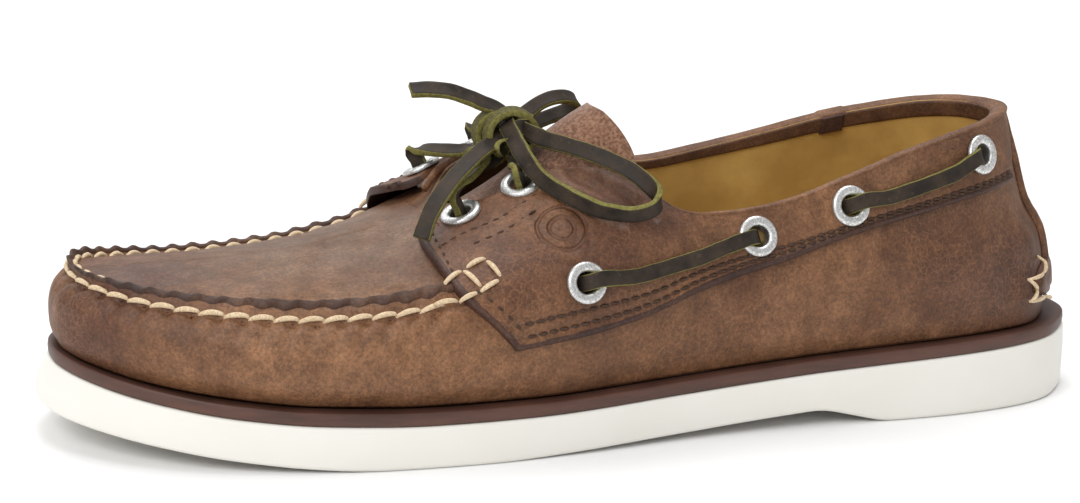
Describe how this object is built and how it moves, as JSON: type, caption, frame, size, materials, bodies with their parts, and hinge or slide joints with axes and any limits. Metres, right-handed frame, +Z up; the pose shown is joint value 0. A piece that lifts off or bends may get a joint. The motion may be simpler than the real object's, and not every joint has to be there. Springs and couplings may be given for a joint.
{
  "type": "boat shoe",
  "caption": "Left boat shoe: moccasin toe with a flat plug, low collar with side lace bars, a tied rawhide lace and a flat light rubber sole.",
  "frame": {"origin": "on the ground under the middle of the sole's length and width", "axes": "toe to -X, heel to +X, lateral side to -Y, medial side to +Y, +Z up from the ground"},
  "size_m": [0.3, 0.1041, 0.091],
  "materials": {
    "outsole_rubber": "matte",
    "midsole_leather": "matte",
    "insole_leather": "matte",
    "upper_leather": "waxed",
    "tongue_suede": "rough",
    "eyelet_metal": "satin",
    "lace_rawhide": "waxed"
  },
  "bodies": {
    "root": {"outsole": "outsole_rubber", "midsole": "midsole_leather", "insole": "insole_leather", "upper": "upper_leather", "collar_band_lateral": "upper_leather", "collar_band_medial": "upper_leather", "back_strap": "upper_leather", "heel_patch": "upper_leather", "tongue": "tongue_suede", "eyelet_throat_front_lateral": "eyelet_metal", "eyelet_throat_rear_lateral": "eyelet_metal", "eyelet_side_1_lateral": "eyelet_metal", "eyelet_side_2_lateral": "eyelet_metal", "eyelet_side_3_lateral": "eyelet_metal", "eyelet_side_4_lateral": "eyelet_metal", "eyelet_throat_front_medial": "eyelet_metal", "eyelet_throat_rear_medial": "eyelet_metal", "eyelet_side_1_medial": "eyelet_metal", "eyelet_side_2_medial": "eyelet_metal", "eyelet_side_3_medial": "eyelet_metal", "eyelet_side_4_medial": "eyelet_metal", "side_lace_side_1_lateral": "lace_rawhide", "side_lace_side_3_lateral": "lace_rawhide", "side_lace_side_1_medial": "lace_rawhide", "side_lace_side_3_medial": "lace_rawhide", "lace_crossing_front": "lace_rawhide", "lace_crossing_rear": "lace_rawhide", "lace_knot": "lace_rawhide", "lace_end_upper": "lace_rawhide", "lace_end_lower": "lace_rawhide", "lace_loop_near": "lace_rawhide", "lace_loop_far": "lace_rawhide"}
  },
  "joints": []
}
